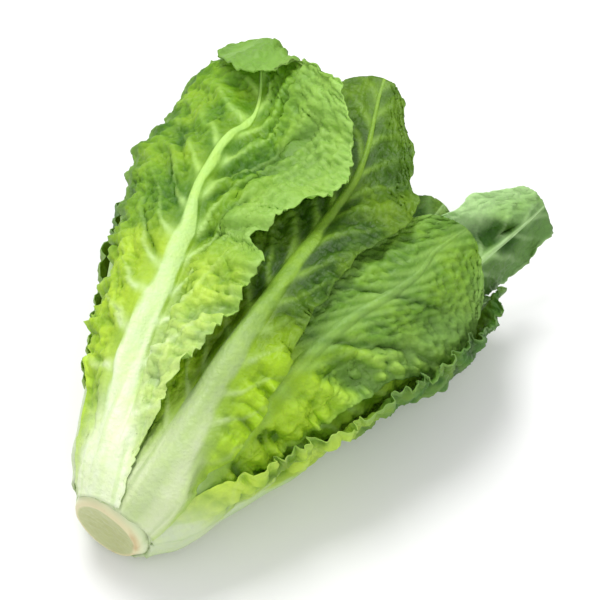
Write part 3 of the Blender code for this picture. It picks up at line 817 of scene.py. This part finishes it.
def colour_masks(leaf, look, pale, height, shadow, strands):
    """What the leaf's colours are mixed by, from 0 to 1 at each place, painted shade and painted
    highlights among them.
    """
    root_age, tip_age = look["young"]
    # painted shade on the blade beside the midrib
    rib_shade = leaf.sides(*look["rib_side_shade"]) * bell(leaf.beyond / 9)
    rib_shade = rib_shade * ramp(0.12, 0.3, leaf.v) * (1 - ramp(0.75, 0.95, leaf.v)) * leaf.on_blade
    shaded = leaf.sides(*look["shaded"]) * ramp(0.02, 0.2, leaf.share) * ramp(0.55, 0.7, leaf.v)
    # painted highlights on the outer blade and on the tip
    painted_highlight = leaf.sides(*look["painted_highlight"]) * ramp(0.25, 0.75, leaf.share) * ramp(0.4, 0.6, leaf.v)
    painted_highlight = painted_highlight + look["painted_tip_highlight"] * ramp(0.76, 0.95, leaf.v) * leaf.on_blade
    hem = 0.35 * ramp(0.88, 1.0, leaf.share) * ramp(0.15, 0.3, leaf.v)
    white = 1 - ramp(look["white"] - 0.3, look["white"] + 0.25, leaf.v)
    masks = {
        "pale": pale,
        # painted shade in the relief's hollows and painted highlights on its tops
        "relief_shading": 0.5 + 0.38 * height,
        "young": (1 - ramp(*look["ages"], leaf.late)) * (root_age - tip_age) + tip_age,
        "shade": rib_shade + shaded + shadow,
        "white": white * (1 - 0.3 * ramp(0.0, 0.7, strands)),
        # paler towards the margins, plus the painted highlights and a painted highlight on a folded
        # tip
        "margin": hem + painted_highlight + 0.55 * leaf.folded,
    }
    return {name: np.clip(mask, 0, 1) for name, mask in masks.items()}


def dress(spec, look, under, clear, seed):
    """The fine leaf: inner points, outer points, and what its colours are mixed by."""
    fold = look["flap"]
    margin = ragged_edge(spec["tip"] - spec["root"], look, seed)
    fold_start = fold[0] if fold else 1.0
    v, across, rib = leaf_grid(spec, look["rows"], look["columns"], RIB_COLUMNS, margin, fold_start)
    points, thickness = lay_leaf(spec, under, v, across, rib, fold)
    leaf = Blade(spec, look, v, across, rib, seed)

    place, off, strength = side_veins(leaf, look)
    vein = bell(off / (0.7 + 1.1 * np.exp(-leaf.beyond / 11))) * strength
    twigs = np.abs((place * 2.6 + 0.35 * leaf.swells(7, 9, 21)) % 1 - 0.5) * 2
    twig = bell(twigs / 0.28) * strength * ramp(4, 16, leaf.beyond)
    raised = look["veins_rise"] * (0.5 * vein + 0.22 * twig)
    pleat = pleated(leaf, look, place)
    crinkle, hollow = crinkled(leaf, look)
    frill = frilled(leaf, look)
    crease, near_crease = creased(leaf, look)
    step, under_step = shelved(leaf, look)
    relief = leaf.on_blade * (raised + pleat + blistered(leaf, look) + crinkle + frill - crease)
    relief = relief + step + turned_margins(leaf, look)

    strands = noise(across / 2.2, leaf.t / 60, seed + 91)
    grooves = 0.4 * strands * np.clip(1 - (across / rib) ** 2, 0, 1)
    thinned = BLADE_THICKNESS - MARGIN_THINNING * ramp(0.75, 1, leaf.share)
    thickness = np.where(leaf.out > rib, thinned, thickness + grooves * (1 - ramp(0.3, 0.7, v)))
    inner, outer = settled(leaf, points, relief, thickness, clear)

    # the relief's height, which paints shade into hollows and highlights onto tops
    height = (relief - 0.6 * pleat - 0.7 * frill) / (0.8 + look["blister"])
    # painted shade in creases, crinkle hollows and under the shelf
    shadow = 0.75 * near_crease + hollow + under_step
    pale = paleness(leaf, look, off, vein, twig)
    return inner, outer, colour_masks(leaf, look, pale, height, shadow, strands)


def place_on_table(points):
    """Moves points in millimetres to the head's own frame, in metres."""
    return (np.asarray(points) - (HEAD_MIDDLE_X, HEAD_MIDDLE_Y, 0)) * MM


def set_attribute(mesh, name, values):
    """Gives each of a mesh's points a value that its material reads."""
    attribute = mesh.attributes.new(name, "FLOAT", "POINT")
    attribute.data.foreach_set("value", values.astype(np.float32))


def blade_mesh(name, inner, outer, masks):
    """One closed blade from the two grids of its sides, with its masks as attributes."""
    rows, columns = inner.shape[:2]
    count = rows * columns
    index = np.arange(count).reshape(rows, columns)
    quads = np.stack([index[:-1, :-1], index[:-1, 1:], index[1:, 1:], index[1:, :-1]], axis=-1)
    quads = quads.reshape(-1, 4)
    around = np.concatenate([index[0, :-1], index[:-1, -1], index[-1, :0:-1], index[:0:-1, 0]])
    after = np.roll(around, -1)
    rim = np.stack([around, after, after + count, around + count], axis=-1)
    faces = np.concatenate([quads[:, ::-1], quads + count, rim])
    points = place_on_table(np.concatenate([inner.reshape(-1, 3), outer.reshape(-1, 3)]))
    mesh = bpy.data.meshes.new(name)
    mesh.from_pydata(points.tolist(), [], faces.tolist())
    for key, values in masks.items():
        set_attribute(mesh, key, np.tile(values.ravel(), 2))
    set_attribute(mesh, "inner_side", np.repeat([1.0, 0.0], count))
    mesh.shade_smooth()
    return mesh


def add_piece(name, mesh, look):
    """Puts a piece in the scene in place of its solid."""
    mesh.materials.append(look)
    piece = bpy.data.objects.new(name + "_dressed", mesh)
    bpy.context.scene.collection.objects.link(piece)
    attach(piece, "root")
    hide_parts(name)
    return piece


class Nodes:
    """A short way to build a material's nodes, each with the values of its inputs."""

    def __init__(self, name):
        self.material = bpy.data.materials.new(name)
        self.material.use_nodes = True
        self.tree = self.material.node_tree
        self.shader = self.tree.nodes["Principled BSDF"]
        self.output = self.tree.nodes["Material Output"]
        self.place = self.tree.nodes.new("ShaderNodeTexCoord").outputs["Object"]

    def link(self, value, socket):
        if isinstance(value, bpy.types.NodeSocket):
            self.tree.links.new(value, socket)
        else:
            socket.default_value = value

    def new(self, kind, values=(), **settings):
        node = self.tree.nodes.new("ShaderNode" + kind)
        for key, value in settings.items():
            setattr(node, key, value)
        for key, value in dict(values).items():
            self.link(value, node.inputs[key])
        return node

    def attribute(self, name):
        return self.new("Attribute", attribute_name=name).outputs["Fac"]

    def noise(self, scale, detail=3.0):
        values = dict(Scale=scale, Detail=detail, Roughness=0.55, Vector=self.place)
        return self.new("TexNoise", values).outputs["Fac"]

    def math(self, operation, first, second=0.0, clamp=False):
        node = self.new("Math", {0: first, 1: second}, operation=operation, use_clamp=clamp)
        return node.outputs[0]

    def spread(self, value, low, high, to_low=0.0, to_high=1.0):
        values = {0: value, 1: low, 2: high, 3: to_low, 4: to_high}
        return self.new("MapRange", values).outputs["Result"]

    def mix(self, factor, first, second, blend="MIX"):
        node = self.new("Mix", data_type="RGBA", blend_type=blend)
        self.link(factor, node.inputs["Factor"])
        for value, key in ((first, "A"), (second, "B")):
            socket = [s for s in node.inputs if s.name == key and s.type == "RGBA"][0]
            self.link(value if isinstance(value, bpy.types.NodeSocket) else (*value, 1), socket)
        return [s for s in node.outputs if s.type == "RGBA"][0]

    def bump(self, height, strength, distance, **under):
        values = dict(Strength=strength, Distance=distance, Height=height, **under)
        return self.new("Bump", values).outputs["Normal"]

    def finish(self, colour, roughness, normal):
        values = {"Base Color": colour, "Roughness": roughness, "Normal": normal}
        for key, value in values.items():
            self.link(value, self.shader.inputs[key])


def leaf_material(name, tones):
    """A leaf's blade and ribs: mottled greens, pale raised veins and a waxy, lit-through skin, with
    painted shade in hollows, creases and beside the midrib, and painted highlights on raised
    places, outer lobes and folded tips.
    """
    palette = dict(zip(TONES, tones))
    nodes = Nodes(name)
    blotches = nodes.noise(38, 4)
    speckle = nodes.noise(420)

    def blotched(key, amount):
        swing = nodes.spread(blotches, 0.3, 0.7, -amount, amount)
        return nodes.math("ADD", swing, nodes.attribute(key), clamp=True)

    # painted shade in the hollows and painted highlights on the tops, by the relief's height
    relief_shading = blotched("relief_shading", 0.22)
    grown = nodes.mix(nodes.spread(relief_shading, 0.15, 0.75), palette["deep"], palette["middle"])
    fresh = nodes.mix(nodes.spread(relief_shading, 0.1, 0.8), palette["sap"], palette["bright"])
    blade = nodes.mix(blotched("young", 0.25), grown, fresh)
    blade = nodes.mix(nodes.spread(speckle, 0.35, 0.7, 0.0, 0.1), blade, palette["pale"])
    # painted shade
    blade = nodes.mix(nodes.math("MULTIPLY", nodes.attribute("shade"), 0.8), blade, palette["deep"])
    # the paler rim and the painted highlights
    blade = nodes.mix(nodes.attribute("margin"), blade, palette["pale"])
    rib = nodes.mix(nodes.attribute("white"), palette["pale"], palette.get("root", WHITE_RIB))
    streaks = nodes.spread(nodes.noise(160, 4), 0.35, 0.75, 0.0, 0.22)
    rib = nodes.mix(streaks, rib, palette["bright"])
    colour = nodes.mix(nodes.attribute("pale"), blade, rib)
    inside = nodes.math("MULTIPLY", nodes.attribute("inner_side"), 0.25)
    colour = nodes.mix(inside, colour, nodes.mix(1.0, colour, palette["middle"], "MULTIPLY"))
    skin = nodes.bump(nodes.noise(1500, 2), 0.3, 0.0002)
    skin = nodes.bump(nodes.noise(360, 4), 0.8, 0.0011, Normal=skin)
    nodes.finish(colour, nodes.spread(nodes.noise(90), 0.3, 0.7, 0.36, 0.52), skin)
    nodes.shader.inputs["Specular IOR Level"].default_value = 0.36

    lit = nodes.mix(0.5, colour, palette["bright"])
    glow = nodes.new("BsdfTranslucent", {"Color": lit, "Normal": skin})
    share = nodes.spread(nodes.attribute("pale"), 0, 1, 0.34, 0.1)
    both = nodes.new("MixShader", {0: share, 1: nodes.shader.outputs[0], 2: glow.outputs[0]})
    nodes.link(both.outputs[0], nodes.output.inputs["Surface"])
    return nodes.material


def stem_mesh():
    """The cut butt: a slightly hollow cut face with saw marks, and a ribbed side."""
    turns = np.linspace(0, 2 * math.pi, STEM_TURNS, endpoint=False)[None, :]
    face = np.linspace(0.02, 1, FACE_RINGS)[:, None]
    radius = face * STEM_PROFILE[0][1]
    saw_marks = noise(3 * radius * np.cos(turns) / 10, radius * np.sin(turns) / 2, 3)
    hollow = FACE_HOLLOW * (1 - face**2) + STEM_LUMPS * saw_marks
    y_side = np.linspace(0, STEM_PROFILE[-1][0], SIDE_ROWS + 1)[1:, None]
    radius_side = smooth_through(*zip(*STEM_PROFILE), y_side)
    lumps = STEM_LUMPS * noise(turns * 3, y_side / 9, 5) * np.minimum(y_side / 4, 1)
    middle, spread, height = BULGE
    towards_stalk = bell((turns - math.radians(middle)) / math.radians(spread))
    lumps = lumps + height * towards_stalk * ramp(0.8, 6, y_side) * (1 - ramp(16, 40, y_side))
    y = np.concatenate([hollow * (1 - face**6), y_side + 0 * turns])
    radius = np.concatenate([radius + 0 * turns, radius_side + lumps])
    share = np.concatenate([face, 1 + y_side]) + 0 * turns
    wobble = 1 + 0.03 * noise(turns * 1.6, 0 * turns, 9)
    x = radius * wobble * np.cos(turns)
    z = cross_section(y)[3] + radius * wobble * np.sin(turns)
    rows = len(y)
    index = np.arange(rows * STEM_TURNS).reshape(rows, STEM_TURNS)
    beside = np.roll(index, -1, axis=1)
    quads = np.stack([index[:-1], beside[:-1], beside[1:], index[1:]], axis=-1).reshape(-1, 4)
    faces = quads.tolist() + [index[0, ::-1].tolist(), index[-1].tolist()]
    mesh = bpy.data.meshes.new("stem")
    mesh.from_pydata(place_on_table(np.stack([x, y, z], -1)).reshape(-1, 3).tolist(), [], faces)
    set_attribute(mesh, "from_middle", share.ravel())
    mesh.shade_smooth()
    return mesh


def stem_material():
    """Cut stem tissue: pale green with faint rings, a cream rim and a rusty bruise."""
    nodes = Nodes("cut_stem")
    share = nodes.attribute("from_middle")
    colours = STEM_COLOURS
    pith = nodes.mix(nodes.spread(share, 0.0, 0.9), colours["middle"], colours["outer"])
    rings = nodes.math("SINE", nodes.math("MULTIPLY", share, 40.0))
    pith = nodes.mix(nodes.spread(rings, -1, 1, 0.0, 0.14), pith, colours["ring"])
    flecks = nodes.spread(nodes.noise(240, 4), 0.4, 0.75, 0.0, 0.3)
    pith = nodes.mix(flecks, pith, colours["fleck"])
    rim = nodes.spread(share, 0.9, 0.98)
    colour = nodes.mix(rim, pith, colours["rim"])
    side = nodes.spread(share, 1.3, 5.0)
    colour = nodes.mix(side, colour, colours["side"])
    patches = nodes.spread(nodes.noise(60), 0.45, 0.62)
    rust = nodes.math("MULTIPLY", patches, nodes.spread(share, 0.86, 1.0))
    rust = nodes.math("MULTIPLY", rust, nodes.spread(share, 3.2, 1.4))
    colour = nodes.mix(nodes.math("MULTIPLY", rust, 0.8, clamp=True), colour, colours["rust"])
    roughness = nodes.spread(nodes.noise(300), 0.3, 0.7, 0.35, 0.55)
    nodes.finish(colour, roughness, nodes.bump(nodes.noise(700, 4), 0.35, 0.0004))
    return nodes.material


def stem_points():
    """The stem's surface as a grid of points, for the record of what is laid."""
    turns = np.linspace(0, 2 * math.pi, MAP_ANGLES + 1)[None, :]
    y = np.linspace(0, STEM_PROFILE[-1][0], 80)[:, None]
    radius = smooth_through(*zip(*STEM_PROFILE), y)
    z = cross_section(y)[3] + radius * np.sin(turns)
    return np.stack([radius * np.cos(turns), y + 0 * turns, z], axis=-1)


def make_head():
    """The stem and every leaf, laid from the heart outwards."""
    add_piece("stem_core", stem_mesh(), stem_material())
    greens = {name: leaf_material(name + "_leaf", tones) for name, tones in PALETTES.items()}
    solids = Layers()
    pieces = Layers()
    solids.add(stem_points(), REFINEMENTS)
    pieces.add(stem_points(), REFINEMENTS)
    for seed, (name, spec) in enumerate(LEAVES.items(), start=1):
        look = LOOKS.get(name, HEART if name.startswith("heart") else INNER)
        solid_under = solids.rounded(MAP_SPREAD, MAP_SPREAD)
        v, across, rib = leaf_grid(spec, spec["rows"], spec["columns"])
        coarse, thickness = lay_leaf(spec, solid_under, v, across, rib)
        coarse = lift_clear(coarse, solids.spread(1, 1))
        solids.add(coarse, REFINEMENTS)
        solids.add(coarse + surface_normals(coarse) * thickness[..., None], REFINEMENTS)

        under = np.maximum(solid_under, pieces.rounded(PIECE_SPREAD, PIECE_EVENING))
        inner, outer, masks = dress(spec, look, under, pieces.spread(1, 1), seed * 100)
        pieces.add(outer, 1)
        add_piece(name, blade_mesh(name, inner, outer, masks), greens[look["colours"]])


def make_camera():
    """The photograph's viewpoint, looking down on the head from beside its cut end."""
    azimuth = math.radians(VIEW_AZIMUTH)
    elevation = math.radians(VIEW_ELEVATION)
    ahead = np.array([
        -math.sin(azimuth) * math.cos(elevation),
        math.cos(azimuth) * math.cos(elevation),
        -math.sin(elevation),
    ])
    right = np.array([math.cos(azimuth), math.sin(azimuth), 0])
    up = np.cross(right, ahead)
    target = np.array(VIEW_TARGET, float)
    cut = np.array(CUT_POINT) - target
    scale = VIEW_SCALE * VIEW_DISTANCE / (VIEW_DISTANCE + cut @ ahead)
    seen = FRAME_PIXELS / 2 + np.array([cut @ right, -cut @ up]) * scale
    move = (np.array(CUT_PIXEL) - seen) / VIEW_SCALE
    target = target - right * move[0] + up * move[1]
    camera_data = bpy.data.cameras.new("camera")
    camera_data.sensor_width = SENSOR_WIDTH
    camera_data.lens = SENSOR_WIDTH * VIEW_DISTANCE * VIEW_SCALE / FRAME_PIXELS
    camera = bpy.data.objects.new("camera", camera_data)
    bpy.context.scene.collection.objects.link(camera)
    place = place_on_table(target - ahead * VIEW_DISTANCE)
    turn = Matrix([right, up, -ahead]).transposed()
    camera.matrix_world = Matrix.Translation(Vector(place)) @ turn.to_4x4()
    bpy.context.scene.camera = camera


def area_light(name, place, size, power):
    """A soft square lamp that faces the middle of the head."""
    lamp = bpy.data.lights.new(name, "AREA")
    lamp.size = size
    lamp.energy = power
    holder = bpy.data.objects.new(name, lamp)
    bpy.context.scene.collection.objects.link(holder)
    holder.location = place
    facing = Vector(LAMP_TARGET) - Vector(place)
    holder.rotation_euler = facing.to_track_quat("-Z", "Y").to_euler()


def make_studio():
    """A pale floor under plain, soft, bright light."""
    bpy.ops.mesh.primitive_plane_add(size=FLOOR_SIZE)
    floor = bpy.context.object
    floor.name = "studio_floor"
    paper = bpy.data.materials.new("paper")
    paper.use_nodes = True
    shader = paper.node_tree.nodes["Principled BSDF"]
    shader.inputs["Base Color"].default_value = (FLOOR_GREY, FLOOR_GREY, FLOOR_GREY, 1)
    shader.inputs["Roughness"].default_value = 0.9
    floor.data.materials.append(paper)
    world = bpy.data.worlds.new("studio")
    world.use_nodes = True
    background = world.node_tree.nodes["Background"]
    background.inputs["Color"].default_value = (1, 1, 1, 1)
    background.inputs["Strength"].default_value = AMBIENT
    bpy.context.scene.world = world
    for name, (place, size, power) in LAMPS.items():
        area_light(name, place, size, power)
    bpy.context.scene.view_settings.view_transform = "Standard"


make_head()
make_camera()
make_studio()
